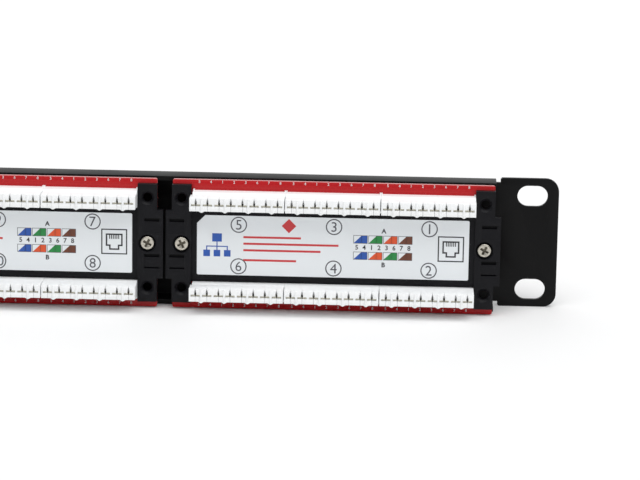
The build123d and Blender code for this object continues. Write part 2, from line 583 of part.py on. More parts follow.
def paper_strip():
    """Paper strip on the tray's floor, for writing port names."""
    inset = HOLDER_RIM + PAPER_MARGIN
    return slab(-holder_half + inset, holder_half - inset, holder_floor - PAPER_THICKNESS, holder_floor,
                holder_bottom + inset, holder_top - inset)


def label_cover():
    """Clear cover that snaps into the tray over the paper, with a finger tab on its lower edge."""
    inset = HOLDER_RIM + COVER_CLEARANCE
    rear = holder_floor - PAPER_THICKNESS
    cover = slab(-holder_half + inset, holder_half - inset, rear - COVER_THICKNESS, rear,
                 holder_bottom + inset, holder_top - inset)
    front_edges = cover.edges().group_by(Axis.Y)[0]
    cover = chamfer(front_edges, COVER_EDGE_CHAMFER)
    tab = slab(-COVER_TAB_WIDTH / 2, COVER_TAB_WIDTH / 2, rear - COVER_THICKNESS,
               rear - COVER_THICKNESS + COVER_TAB_THICKNESS,
               holder_bottom + COVER_CLEARANCE, holder_bottom + inset + COVER_TAB_ROOT)
    return cover + tab


# --- Export ------------------------------------------------------------------------------------------------
def save(name, pieces):
    """Writes one node. A node of several identical pieces keeps them as separate solids."""
    solids = [solid for piece in pieces for solid in piece.solids()]
    shape = solids[0] if len(solids) == 1 else Compound(children=solids)
    export_step(shape, f"parts/{name}.step")


def main():
    os.makedirs("parts", exist_ok=True)
    save("steel_panel", [steel_panel()])
    post = standoff()
    save("standoffs", [Pos(centre + side * screw_x, 0, SCREW_RISE) * post
                       for centre in module_centres() for side in (-1, 1)])

    contact_xs = [block + contact for block in block_offsets() for contact in contact_offsets()]
    contacts = [idc_contact()] * len(contact_xs)
    wires = {outer_row: spring_wire(outer_row) for outer_row in (False, True)}
    housing = jack_housing()
    module = {
        "circuit_board": [circuit_board()],
        "punch_down_blocks": in_both_rows(row_of_blocks(1), row_of_blocks(-1), block_offsets()),
        "idc_contacts": in_both_rows(contacts, contacts, contact_xs),
        "rear_frame": [rear_frame()],
        "rear_label": [rear_label()],
        "module_screws": [Pos(side * screw_x, 0, SCREW_RISE) * Rot(0, side * SCREW_TURN, 0) * screw()
                          for side in (-1, 1)],
        "jack_housings": [Pos(x, 0, 0) * housing for x in jack_offsets()],
        "jack_spring_wires": [Pos(x + wire, 0, 0) * wires[outer_row]
                              for x in jack_offsets() for wire, outer_row in wire_offsets()],
        "label_holder": [label_holder()],
        "paper_strip": [paper_strip()],
        "label_cover": [label_cover()],
    }
    for number, centre in enumerate(module_centres(), start=1):
        for name, pieces in module.items():
            save(f"{name}_{number}", [Pos(centre, 0, 0) * piece for piece in pieces])
    print("panel", 2 * panel_half_width, "x", 2 * panel_half_height, "slots", 2 * slot_x, 2 * slot_z,
          "module pitch", module_pitch, "contact line", contact_line, "jack pitch", jack_pitch)


main()
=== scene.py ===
import json
import math
import bpy
import bmesh
from mathutils import Matrix, Vector

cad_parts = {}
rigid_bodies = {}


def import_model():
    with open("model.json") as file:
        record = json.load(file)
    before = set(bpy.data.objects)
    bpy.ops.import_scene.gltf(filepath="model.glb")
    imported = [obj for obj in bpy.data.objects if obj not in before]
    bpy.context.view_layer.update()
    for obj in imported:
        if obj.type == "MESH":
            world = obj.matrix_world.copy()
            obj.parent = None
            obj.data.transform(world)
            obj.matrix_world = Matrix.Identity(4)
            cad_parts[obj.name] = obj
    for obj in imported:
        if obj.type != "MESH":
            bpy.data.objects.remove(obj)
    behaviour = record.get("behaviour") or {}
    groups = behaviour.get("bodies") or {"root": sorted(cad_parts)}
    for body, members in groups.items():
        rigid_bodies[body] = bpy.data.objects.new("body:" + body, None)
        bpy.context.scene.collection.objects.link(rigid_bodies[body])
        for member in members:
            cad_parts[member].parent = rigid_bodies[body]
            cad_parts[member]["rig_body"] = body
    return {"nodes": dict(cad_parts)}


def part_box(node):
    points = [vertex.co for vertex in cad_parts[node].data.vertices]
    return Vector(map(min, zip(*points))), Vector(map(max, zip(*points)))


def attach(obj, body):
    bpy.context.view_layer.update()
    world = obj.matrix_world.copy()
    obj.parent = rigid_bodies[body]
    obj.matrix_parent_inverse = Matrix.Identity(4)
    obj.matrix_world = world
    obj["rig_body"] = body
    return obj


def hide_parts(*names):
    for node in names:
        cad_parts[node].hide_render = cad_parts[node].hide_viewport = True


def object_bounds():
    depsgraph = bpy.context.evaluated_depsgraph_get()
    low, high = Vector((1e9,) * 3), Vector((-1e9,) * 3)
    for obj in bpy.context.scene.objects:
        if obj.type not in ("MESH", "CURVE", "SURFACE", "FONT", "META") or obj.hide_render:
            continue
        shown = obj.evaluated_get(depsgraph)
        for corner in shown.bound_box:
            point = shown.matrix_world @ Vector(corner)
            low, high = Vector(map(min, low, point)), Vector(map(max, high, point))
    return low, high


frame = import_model()
cad_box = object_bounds()
nodes = frame["nodes"]

# --- Floor, light and camera -------------------------------------------------------------------------------
# The panel stands on its lower edge on a pale studio floor, under a broad soft light from above and behind,
# with a weak fill from the front. The camera is behind the port 1 end, a little above it, with a long lens.
MM = 0.001
MODULES = 4
JACKS = 6
scene = bpy.context.scene
scene.view_settings.view_transform = "Standard"


def material_named(name):
    """A new material, with its nodes, its links and its Principled shader."""
    material = bpy.data.materials.new(name)
    material.use_nodes = True
    tree = material.node_tree
    return material, tree.nodes, tree.links, tree.nodes["Principled BSDF"]


def piece_of(mesh, name):
    """A new object at the origin that shows a mesh."""
    piece = bpy.data.objects.new(name, mesh)
    scene.collection.objects.link(piece)
    return piece


floor_paint, parts, links, shader = material_named("studio_floor")
cloudiness = parts.new("ShaderNodeTexNoise")
cloudiness.inputs["Scale"].default_value = 3.0
tone = parts.new("ShaderNodeMapRange")
tone.inputs["To Min"].default_value = 0.86
tone.inputs["To Max"].default_value = 0.90
pale = parts.new("ShaderNodeCombineColor")
links.new(cloudiness.outputs["Fac"], tone.inputs["Value"])
for channel in ("Red", "Green", "Blue"):
    links.new(tone.outputs["Result"], pale.inputs[channel])
links.new(pale.outputs["Color"], shader.inputs["Base Color"])
shader.inputs["Roughness"].default_value = 0.75

FLOOR_REACH = 6.0
floor_form = bmesh.new()
bmesh.ops.create_grid(floor_form, x_segments=2, y_segments=2, size=FLOOR_REACH,
                      matrix=Matrix.Translation((0, 0, cad_box[0][2])))
floor_mesh = bpy.data.meshes.new("studio_floor")
floor_form.to_mesh(floor_mesh)
floor_mesh.materials.append(floor_paint)
floor = piece_of(floor_mesh, "studio_floor")

SURROUND = 0.42
world = bpy.data.worlds.new("pale_surround")
scene.world = world
world.use_nodes = True
world.node_tree.nodes["Background"].inputs["Color"].default_value = (0.98, 0.99, 1.0, 1)
world.node_tree.nodes["Background"].inputs["Strength"].default_value = SURROUND


def soft_glow(name, direction, spread, power):
    """A sun lamp wide enough to act as a large soft box, shining from a direction."""
    lamp = bpy.data.lights.new(name, "SUN")
    lamp.angle = math.radians(spread)
    lamp.energy = power
    holder = bpy.data.objects.new(name, lamp)
    holder.rotation_euler = (-Vector(direction)).to_track_quat("-Z", "Y").to_euler()
    scene.collection.objects.link(holder)


soft_glow("overhead_glow", direction=(-0.15, 0.42, 1.0), spread=75, power=2.45)
soft_glow("front_fill", direction=(0.3, -1.0, 0.5), spread=60, power=0.5)

LENS = 156.12
camera_data = bpy.data.cameras.new("camera")
camera_data.lens = LENS
camera_data.clip_start = 10 * MM
camera = bpy.data.objects.new("camera", camera_data)
camera.matrix_world = Matrix((
    (-0.999216, 0.023040, -0.032201, -0.19191),
    (-0.036357, -0.211769, 0.976643, 0.90757),
    (0.015683, 0.977048, 0.212440, 0.19674),
    (0.0, 0.0, 0.0, 1.0)))
scene.collection.objects.link(camera)
scene.camera = camera

# --- Steel panel -------------------------------------------------------------------------------------------
# One sheet of 1.5 mm steel, punched, bent back along both long edges and powder coated black.
# The coat is slightly pebbled, and thinner and a little paler along the sharp edges.


def effect_group(name, inputs, outputs):
    """An empty shader node group with named sockets. Each input comes with its default value."""
    group = bpy.data.node_groups.new(name, "ShaderNodeTree")
    for label, kind, value in inputs:
        socket = group.interface.new_socket(label, in_out="INPUT", socket_type=kind)
        socket.default_value = value
    for label, kind in outputs:
        group.interface.new_socket(label, in_out="OUTPUT", socket_type=kind)
    return group, group.nodes.new("NodeGroupInput"), group.nodes.new("NodeGroupOutput")


def pebbled_surface():
    """Effect: two colours mixed in soft patches, an uneven roughness, and a fine pebbled height."""
    group, given, result = effect_group(
        "pebbled_surface",
        [("Colour", "NodeSocketColor", (0.5, 0.5, 0.5, 1)),
         ("Patch Colour", "NodeSocketColor", (0.5, 0.5, 0.5, 1)),
         ("Patch Scale", "NodeSocketFloat", 60.0), ("Pebble Scale", "NodeSocketFloat", 2500.0),
         ("Roughness", "NodeSocketFloat", 0.4), ("Roughness Spread", "NodeSocketFloat", 0.1)],
        [("Colour", "NodeSocketColor"), ("Roughness", "NodeSocketFloat"), ("Height", "NodeSocketFloat")])
    inside, wires = group.nodes, group.links
    place = inside.new("ShaderNodeTexCoord")
    patches = inside.new("ShaderNodeTexNoise")
    patches.inputs["Detail"].default_value = 4.0
    pebbles = inside.new("ShaderNodeTexNoise")
    pebbles.inputs["Detail"].default_value = 2.0
    mixed = inside.new("ShaderNodeMix")
    mixed.data_type = "RGBA"
    spread = inside.new("ShaderNodeMath")
    spread.operation = "MULTIPLY_ADD"
    wires.new(place.outputs["Object"], patches.inputs["Vector"])
    wires.new(place.outputs["Object"], pebbles.inputs["Vector"])
    wires.new(given.outputs["Patch Scale"], patches.inputs["Scale"])
    wires.new(given.outputs["Pebble Scale"], pebbles.inputs["Scale"])
    wires.new(patches.outputs["Fac"], mixed.inputs["Factor"])
    wires.new(given.outputs["Colour"], mixed.inputs["A"])
    wires.new(given.outputs["Patch Colour"], mixed.inputs["B"])
    wires.new(patches.outputs["Fac"], spread.inputs[0])
    wires.new(given.outputs["Roughness Spread"], spread.inputs[1])
    wires.new(given.outputs["Roughness"], spread.inputs[2])
    wires.new(mixed.outputs["Result"], result.inputs["Colour"])
    wires.new(spread.outputs["Value"], result.inputs["Roughness"])
    wires.new(pebbles.outputs["Fac"], result.inputs["Height"])
    return group


def rubbed_edges():
    """Effect: a mask that is 1 along sharp edges, broken up by noise, and a colour mixed by it."""
    group, given, result = effect_group(
        "rubbed_edges",
        [("Colour", "NodeSocketColor", (0.5, 0.5, 0.5, 1)), ("Edge Colour", "NodeSocketColor", (1, 1, 1, 1)),
         ("Width", "NodeSocketFloat", 0.0002), ("Amount", "NodeSocketFloat", 0.5)],
        [("Colour", "NodeSocketColor"), ("Mask", "NodeSocketFloat")])
    inside, wires = group.nodes, group.links
    rounded = inside.new("ShaderNodeBevel")
    rounded.samples = 4
    flat = inside.new("ShaderNodeNewGeometry")
    bend = inside.new("ShaderNodeVectorMath")
    bend.operation = "DOT_PRODUCT"
    steep = inside.new("ShaderNodeMapRange")
    steep.inputs["From Min"].default_value = 0.98
    steep.inputs["From Max"].default_value = 0.75
    scuffs = inside.new("ShaderNodeTexNoise")
    scuffs.inputs["Scale"].default_value = 700.0
    broken = inside.new("ShaderNodeMath")
    broken.operation = "MULTIPLY"
    share = inside.new("ShaderNodeMath")
    share.operation = "MULTIPLY"
    mixed = inside.new("ShaderNodeMix")
    mixed.data_type = "RGBA"
    wires.new(given.outputs["Width"], rounded.inputs["Radius"])
    wires.new(rounded.outputs["Normal"], bend.inputs[0])
    wires.new(flat.outputs["True Normal"], bend.inputs[1])
    wires.new(bend.outputs["Value"], steep.inputs["Value"])
    wires.new(steep.outputs["Result"], broken.inputs[0])
    wires.new(scuffs.outputs["Fac"], broken.inputs[1])
    wires.new(broken.outputs["Value"], share.inputs[0])
    wires.new(given.outputs["Amount"], share.inputs[1])
    wires.new(share.outputs["Value"], mixed.inputs["Factor"])
    wires.new(given.outputs["Colour"], mixed.inputs["A"])
    wires.new(given.outputs["Edge Colour"], mixed.inputs["B"])
    wires.new(mixed.outputs["Result"], result.inputs["Colour"])
    wires.new(share.outputs["Value"], result.inputs["Mask"])
    return group


PEBBLED = pebbled_surface()
RUBBED = rubbed_edges()


def placed_group(parts, group, values):
    """An effect group placed in a material, with its own values."""
    node = parts.new("ShaderNodeGroup")
    node.node_tree = group
    for label, value in values.items():
        node.inputs[label].default_value = value
    return node


def moulded(name, colour, patch, roughness, spread, pebble_scale, pebble_depth, edge, edge_amount,
            shine=0.4):
    """A coated or moulded surface: patchy colour and gloss, a pebbled skin, and rubbed edges."""
    material, parts, links, shader = material_named(name)
    shader.inputs["Specular IOR Level"].default_value = shine
    skin = placed_group(parts, PEBBLED, {"Colour": (*colour, 1), "Patch Colour": (*patch, 1),
                                         "Pebble Scale": pebble_scale, "Roughness": roughness,
                                         "Roughness Spread": spread})
    edges = placed_group(parts, RUBBED, {"Edge Colour": (*edge, 1), "Amount": edge_amount})
    relief = parts.new("ShaderNodeBump")
    relief.inputs["Distance"].default_value = pebble_depth
    relief.inputs["Strength"].default_value = 0.6
    links.new(skin.outputs["Colour"], edges.inputs["Colour"])
    links.new(edges.outputs["Colour"], shader.inputs["Base Color"])
    links.new(skin.outputs["Roughness"], shader.inputs["Roughness"])
    links.new(skin.outputs["Height"], relief.inputs["Height"])
    links.new(relief.outputs["Normal"], shader.inputs["Normal"])
    return material


def settle(piece):
    """Turns a piece and its modifiers into a plain mesh."""
    settled = bpy.data.meshes.new_from_object(piece.evaluated_get(bpy.context.evaluated_depsgraph_get()))
    piece.modifiers.clear()
    piece.data = settled


def smooth_to(mesh, degrees):
    """Smooth shading, except across edges sharper than an angle."""
    mesh.shade_smooth()
    mesh.set_sharp_from_angle(angle=math.radians(degrees))


FLAT_ANGLE = math.radians(0.4)
JOINED = 0.001 * MM
SHARP = 35
SMOOTH = 32


def round_edges(piece, radius, segments, sharp):
    """Rounds off a piece's edges that are sharper than an angle, in degrees."""
    bevel = piece.modifiers.new("rounded", "BEVEL")
    bevel.width = radius
    bevel.segments = segments
    bevel.limit_method = "ANGLE"
    bevel.angle_limit = math.radians(sharp)
    settle(piece)
    smooth_to(piece.data, SMOOTH)


def rounded_off(node, radius, material, segments=2):
    """A copy of a CAD node, its flats joined up and its edges rounded off, that stands for the node."""
    form = bmesh.new()
    form.from_mesh(nodes[node].data)
    bmesh.ops.remove_doubles(form, verts=form.verts, dist=JOINED)
    bmesh.ops.dissolve_limit(form, angle_limit=FLAT_ANGLE, verts=form.verts, edges=form.edges)
    mesh = bpy.data.meshes.new(node)
    form.to_mesh(mesh)
    form.free()
    mesh.materials.append(material)
    piece = piece_of(mesh, f"{node}.finished")
    round_edges(piece, radius, segments, SHARP)
    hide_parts(node)
    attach(piece, nodes[node]["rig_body"])
    return piece


POWDER_COAT = moulded("black_powder_coat", colour=(0.0042, 0.0042, 0.0044), patch=(0.0060, 0.0060, 0.0062),
                      roughness=0.36, spread=0.14, pebble_scale=2600.0, pebble_depth=0.03 * MM,
                      edge=(0.035, 0.035, 0.036), edge_amount=0.5, shine=0.12)
SHEET_ROUNDING = 0.12 * MM
panel = rounded_off("steel_panel", SHEET_ROUNDING, POWDER_COAT)

# --- Standoffs ---------------------------------------------------------------------------------------------
# Turned steel posts, zinc plated, with a threaded bore. Their shanks are pressed into the panel from behind.
# Turning leaves fine rings round the post, and the plating is dull in patches.
# Depth over which the painted shade in recesses fades in.
SHADE_FADE = 0.25 * MM


def turned_metal(name, colour, dull, roughness, ring_scale, shade_below=None):
    """Plated metal: fine tool rings, dull patches and a broken gloss. Painted shade darkens it below a depth
    along Y.
    """
    material, parts, links, shader = material_named(name)
    skin = placed_group(parts, PEBBLED, {"Colour": (*colour, 1), "Patch Colour": (*dull, 1),
                                         "Patch Scale": 900.0, "Pebble Scale": 5000.0,
                                         "Roughness": roughness, "Roughness Spread": 0.18})
    place = parts.new("ShaderNodeTexCoord")
    rings = parts.new("ShaderNodeTexWave")
    rings.bands_direction = "Y"
    rings.inputs["Scale"].default_value = ring_scale
    rings.inputs["Distortion"].default_value = 1.5
    relief = parts.new("ShaderNodeBump")
    relief.inputs["Distance"].default_value = 0.006 * MM
    relief.inputs["Strength"].default_value = 0.5
    links.new(place.outputs["Object"], rings.inputs["Vector"])
    links.new(rings.outputs["Fac"], relief.inputs["Height"])
    links.new(relief.outputs["Normal"], shader.inputs["Normal"])
    colour_source = skin.outputs["Colour"]
    # Painted shade: below the given depth along Y the colour fades to dark brown, as if the recesses lay in
    # shade.
    if shade_below is not None:
        depth = parts.new("ShaderNodeSeparateXYZ")
        sunk = parts.new("ShaderNodeMapRange")
        sunk.inputs["From Min"].default_value = shade_below
        sunk.inputs["From Max"].default_value = shade_below - SHADE_FADE
        painted_shade = parts.new("ShaderNodeMix")
        painted_shade.data_type = "RGBA"
        painted_shade.inputs["B"].default_value = (0.10, 0.09, 0.07, 1)
        links.new(place.outputs["Object"], depth.inputs["Vector"])
        links.new(depth.outputs["Y"], sunk.inputs["Value"])
        links.new(sunk.outputs["Result"], painted_shade.inputs["Factor"])
        links.new(colour_source, painted_shade.inputs["A"])
        colour_source = painted_shade.outputs["Result"]
    links.new(colour_source, shader.inputs["Base Color"])
    links.new(skin.outputs["Roughness"], shader.inputs["Roughness"])
    shader.inputs["Metallic"].default_value = 1.0
    return material


ZINC = turned_metal("zinc_plate", colour=(0.60, 0.61, 0.63), dull=(0.45, 0.46, 0.48), roughness=0.30,
                    ring_scale=900.0)
POST_ROUNDING = 0.10 * MM
standoffs = rounded_off("standoffs", POST_ROUNDING, ZINC)

# --- Circuit boards ----------------------------------------------------------------------------------------
# Glass fibre boards under a glossy red solder mask, with copper tracks that stand slightly proud of it.
# The sawn edges show the paler laminate. White numbers are printed beside each punch-down contact.


def red_board():
    """Solder mask over tracks: a grid of faint raised lines, and a pale edge where the board was cut."""
    material, parts, links, shader = material_named("red_solder_mask")
    skin = placed_group(parts, PEBBLED, {"Colour": (0.46, 0.010, 0.013, 1),
                                         "Patch Colour": (0.38, 0.007, 0.010, 1), "Patch Scale": 45.0,
                                         "Pebble Scale": 9000.0, "Roughness": 0.16,
                                         "Roughness Spread": 0.10})
    place = parts.new("ShaderNodeTexCoord")
    laid = parts.new("ShaderNodeMapping")
    laid.inputs["Rotation"].default_value = (math.radians(90), 0, 0)
    tracks = parts.new("ShaderNodeTexBrick")
    tracks.inputs["Scale"].default_value = 260.0
    tracks.inputs["Mortar Size"].default_value = 0.05
    tracks.inputs["Mortar Smooth"].default_value = 0.4
    tracks.inputs["Color1"].default_value = (0.0, 0.0, 0.0, 1)
    tracks.inputs["Color2"].default_value = (0.15, 0.15, 0.15, 1)
    tracks.inputs["Mortar"].default_value = (1.0, 1.0, 1.0, 1)
    copper = parts.new("ShaderNodeMix")
    copper.data_type = "RGBA"
    copper.inputs["B"].default_value = (0.54, 0.022, 0.022, 1)
    faint = parts.new("ShaderNodeMath")
    faint.operation = "MULTIPLY"
    faint.inputs[1].default_value = 0.30
    relief = parts.new("ShaderNodeBump")
    relief.inputs["Distance"].default_value = 0.02 * MM
    relief.inputs["Strength"].default_value = 0.35
    facing = parts.new("ShaderNodeSeparateXYZ")
    across = parts.new("ShaderNodeMath")
    across.operation = "ABSOLUTE"
    sawn = parts.new("ShaderNodeMapRange")
    sawn.inputs["From Min"].default_value = 0.75
    sawn.inputs["From Max"].default_value = 0.35
    laminate = parts.new("ShaderNodeMix")
    laminate.data_type = "RGBA"
    laminate.inputs["B"].default_value = (0.56, 0.13, 0.13, 1)
    links.new(place.outputs["Object"], laid.inputs["Vector"])
    links.new(laid.outputs["Vector"], tracks.inputs["Vector"])
    links.new(tracks.outputs["Color"], faint.inputs[0])
    links.new(faint.outputs["Value"], copper.inputs["Factor"])
    links.new(skin.outputs["Colour"], copper.inputs["A"])
    links.new(place.outputs["Normal"], facing.inputs["Vector"])
    links.new(facing.outputs["Y"], across.inputs[0])
    links.new(across.outputs["Value"], sawn.inputs["Value"])
    links.new(sawn.outputs["Result"], laminate.inputs["Factor"])
    links.new(copper.outputs["Result"], laminate.inputs["A"])
    links.new(laminate.outputs["Result"], shader.inputs["Base Color"])
    links.new(tracks.outputs["Color"], relief.inputs["Height"])
    links.new(relief.outputs["Normal"], shader.inputs["Normal"])
    links.new(skin.outputs["Roughness"], shader.inputs["Roughness"])
    shader.inputs["Specular IOR Level"].default_value = 0.2
    shader.inputs["Coat Weight"].default_value = 0.12
    shader.inputs["Coat Roughness"].default_value = 0.08
    return material


RED_MASK = red_board()
BOARD_ROUNDING = 0.08 * MM
for module in range(1, MODULES + 1):
    board = rounded_off(f"circuit_board_{module}", BOARD_ROUNDING, RED_MASK)

THIN_SHARE = 0.86
THIN_HAZE = 0.02


def ink(name, colour, roughness=0.45):
    """Printed ink: one colour, a little uneven where it lies thin."""
    material, parts, links, shader = material_named(name)
    thin = tuple(THIN_SHARE * channel + THIN_HAZE for channel in colour)
    skin = placed_group(parts, PEBBLED, {"Colour": (*colour, 1), "Patch Colour": (*thin, 1),
                                         "Patch Scale": 1500.0, "Roughness": roughness,
                                         "Roughness Spread": 0.1})
    links.new(skin.outputs["Colour"], shader.inputs["Base Color"])
    links.new(skin.outputs["Roughness"], shader.inputs["Roughness"])
    return material


INK_THICKNESS = 0.02 * MM
INK_JOINED = JOINED / 10
REAR = Matrix(((-1, 0, 0, 0), (0, 0, 1, 0), (0, 1, 0, 0), (0, 0, 0, 1)))
FRONT = Matrix(((1, 0, 0, 0), (0, 0, -1, 0), (0, 1, 0, 0), (0, 0, 0, 1)))


def glyphs(text, height, weight=0.0):
    """The outline of a short generic mark or number as a thin solid, centred, lying in XY and facing +Z."""
    letters = bpy.data.curves.new("glyphs", "FONT")
    letters.body = text
    letters.size = 1.0
    letters.resolution_u = 3
    letters.offset = weight
    holder = bpy.data.objects.new("glyphs", letters)
    scene.collection.objects.link(holder)
    flat = bpy.data.meshes.new_from_object(holder.evaluated_get(bpy.context.evaluated_depsgraph_get()))
    bpy.data.objects.remove(holder)
    xs = [corner.co.x for corner in flat.vertices]
    ys = [corner.co.y for corner in flat.vertices]
    scale = height / (max(ys) - min(ys))
    centre = Vector(((max(xs) + min(xs)) / 2, (max(ys) + min(ys)) / 2, 0))
    flat.transform(Matrix.Scale(scale, 4) @ Matrix.Translation(-centre))
    return flat


def stamped(name, marks, material, body="panel"):
    """One piece of ink from many flat marks, each (mesh, facing, place), raised into thin solids."""
    form = bmesh.new()
    for mesh, facing, place in marks:
        before = len(form.verts)
        form.from_mesh(mesh)
        form.verts.ensure_lookup_table()
        fresh = form.verts[before:]
        bmesh.ops.transform(form, matrix=Matrix.Translation(place) @ facing, verts=fresh)
    bmesh.ops.remove_doubles(form, verts=form.verts, dist=INK_JOINED)
    flat = form.faces[:]
    raised = bmesh.ops.extrude_face_region(form, geom=flat)
    tops = [item for item in raised["geom"] if isinstance(item, bmesh.types.BMVert)]
    for corner in tops:
        corner.co.y += INK_THICKNESS if marks[0][1] is REAR else -INK_THICKNESS
    bmesh.ops.recalc_face_normals(form, faces=form.faces)
    sheet = bpy.data.meshes.new(name)
    form.to_mesh(sheet)
    form.free()
    sheet.materials.append(material)
    piece = piece_of(sheet, name)
    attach(piece, body)
    return piece


WIRE_ORDER = "54123678"
WIRES = len(WIRE_ORDER)
CONTACT_PITCH = 3.81 * MM
CONTACT_THICKNESS = 0.6 * MM
SILK_HEIGHT = 0.95 * MM
SILK_FROM_UPPER_EDGE = 0.62 * MM
SILK_FROM_LOWER_EDGE = 1.05 * MM
SILK_PITCH = 31.0 * MM
SILK_SHIFT = -0.1 * MM
DIGIT_WEIGHT = 0.02
SILK_WHITE = ink("silk_screen_white", (0.74, 0.66, 0.66))
silk_glyphs = {digit: glyphs(digit, SILK_HEIGHT, DIGIT_WEIGHT) for digit in WIRE_ORDER}

for module in range(1, MODULES + 1):
    low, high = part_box(f"circuit_board_{module}")
    marks = []
    for step in (-1, 0, 1):
        centre = (low.x + high.x) / 2 + SILK_SHIFT + step * SILK_PITCH
        for place, digit in enumerate(WIRE_ORDER):
            x = centre + ((WIRES - 1) / 2 - place) * CONTACT_PITCH
            for z in (high.z - SILK_FROM_UPPER_EDGE, low.z + SILK_FROM_LOWER_EDGE):
                marks.append((silk_glyphs[digit], REAR, (x, high.y, z)))
    silk = stamped(f"board_numbers_{module}", marks, SILK_WHITE)

# --- Solder joints -----------------------------------------------------------------------------------------
# Each punch-down contact's pin is soldered on the board's front side, in a small bright cone of solder.
# A machine makes them all alike, three blocks of eight along each edge of a board.


def socket_id(tree, name):
    """The identifier of a modifier input, from its name."""
    return next(item.identifier for item in tree.interface.items_tree
                if item.item_type == "SOCKET" and item.in_out == "INPUT" and item.name == name)


def new_tree(name, inputs):
    """An empty geometry tree with named inputs and one geometry output."""
    tree = bpy.data.node_groups.new(name, "GeometryNodeTree")
    tree.interface.new_socket("Geometry", in_out="OUTPUT", socket_type="NodeSocketGeometry")
    for label, kind in inputs:
        tree.interface.new_socket(label, in_out="INPUT", socket_type=kind)
    return tree, tree.nodes.new("NodeGroupInput"), tree.nodes.new("NodeGroupOutput")


def grown(name, tree, values, material):
    """A piece grown by a geometry tree, with its input values, as a plain mesh."""
    piece = piece_of(bpy.data.meshes.new(name), name)
    modifier = piece.modifiers.new(name, "NODES")
    modifier.node_group = tree
    for label, value in {**values, "Material": material}.items():
        modifier[socket_id(tree, label)] = value
    settle(piece)
    if not piece.data.materials:
        piece.data.materials.append(material)
    return piece


def row_points(tree, given, count, spacing, across):
    """Nodes for a centred line of points along X, at a height given by a vector input."""
    line = tree.nodes.new("GeometryNodeMeshLine")
    span = tree.nodes.new("ShaderNodeMath")
    span.operation = "SUBTRACT"
    span.inputs[1].default_value = 1.0
    half = tree.nodes.new("ShaderNodeMath")
    half.operation = "MULTIPLY"
    back = tree.nodes.new("ShaderNodeMath")
    back.operation = "MULTIPLY"
    back.inputs[1].default_value = -0.5
    start = tree.nodes.new("ShaderNodeCombineXYZ")
    step = tree.nodes.new("ShaderNodeCombineXYZ")
    place = tree.nodes.new("ShaderNodeVectorMath")
    place.operation = "ADD"
    tree.links.new(given.outputs[count], span.inputs[0])
    tree.links.new(span.outputs["Value"], half.inputs[0])
    tree.links.new(given.outputs[spacing], half.inputs[1])
    tree.links.new(half.outputs["Value"], back.inputs[0])
    tree.links.new(back.outputs["Value"], start.inputs["X"])
    tree.links.new(given.outputs[spacing], step.inputs["X"])
    tree.links.new(start.outputs["Vector"], place.inputs[0])
    tree.links.new(given.outputs[across], place.inputs[1])
    tree.links.new(given.outputs[count], line.inputs["Count"])
    tree.links.new(place.outputs["Vector"], line.inputs["Start Location"])
    tree.links.new(step.outputs["Vector"], line.inputs["Offset"])
    return line


def solder_tree():
    """Cones of solder, one at each point of a line."""
    tree, given, result = new_tree("solder_cones", [
        ("Count", "NodeSocketInt"), ("Pitch", "NodeSocketFloat"), ("Centre", "NodeSocketVector"),
        ("Base Radius", "NodeSocketFloat"), ("Height", "NodeSocketFloat"),
        ("Material", "NodeSocketMaterial")])
    line = row_points(tree, given, "Count", "Pitch", "Centre")
    cone = tree.nodes.new("GeometryNodeMeshCone")
    cone.inputs["Vertices"].default_value = 12
    tip = tree.nodes.new("ShaderNodeMath")
    tip.operation = "MULTIPLY"
    tip.inputs[1].default_value = 0.35
    spread = tree.nodes.new("GeometryNodeInstanceOnPoints")
    spread.inputs["Rotation"].default_value = (math.radians(90), 0, 0)
    solid = tree.nodes.new("GeometryNodeRealizeInstances")
    coat = tree.nodes.new("GeometryNodeSetMaterial")
    tree.links.new(given.outputs["Base Radius"], cone.inputs["Radius Bottom"])
    tree.links.new(given.outputs["Base Radius"], tip.inputs[0])
    tree.links.new(tip.outputs["Value"], cone.inputs["Radius Top"])
    tree.links.new(given.outputs["Height"], cone.inputs["Depth"])
    tree.links.new(line.outputs["Mesh"], spread.inputs["Points"])
    tree.links.new(cone.outputs["Mesh"], spread.inputs["Instance"])
    tree.links.new(spread.outputs["Instances"], solid.inputs["Geometry"])
    tree.links.new(solid.outputs["Geometry"], coat.inputs["Geometry"])
    tree.links.new(given.outputs["Material"], coat.inputs["Material"])
    tree.links.new(coat.outputs["Geometry"], result.inputs["Geometry"])
    return tree


CONTACT_PLATE = 3.0 * MM


def block_centres(module):
    """X of each of the three blocks in a row, from the -X end."""
    low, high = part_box(f"idc_contacts_{module}")
    row = high.x - low.x - CONTACT_PLATE
    pitch = (row - (WIRES - 1) * CONTACT_PITCH) / 2
    return [(low.x + high.x) / 2 + step * pitch for step in (-1, 0, 1)]


SOLDER = turned_metal("solder", colour=(0.70, 0.70, 0.71), dull=(0.52, 0.52, 0.54), roughness=0.22,
                      ring_scale=600.0)
SOLDER_RADIUS = 0.75 * MM
SOLDER_HEIGHT = 0.7 * MM
SOLDER_SMOOTH = 40
solder_cones = solder_tree()
for module in range(1, MODULES + 1):
    board_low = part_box(f"circuit_board_{module}")[0]
    pins_low, pins_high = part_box(f"idc_contacts_{module}")
    half_pin = CONTACT_THICKNESS / 2
    for row, z in (("upper", pins_high.z - half_pin), ("lower", pins_low.z + half_pin)):
        for number, centre in enumerate(block_centres(module), start=1):
            joints = grown(f"solder_{row}_{module}_{number}", solder_cones,
                           {"Count": WIRES, "Pitch": CONTACT_PITCH, "Centre": (centre, board_low.y, z),
                            "Base Radius": SOLDER_RADIUS, "Height": SOLDER_HEIGHT}, SOLDER)
            smooth_to(joints.data, SOLDER_SMOOTH)
            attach(joints, "panel")

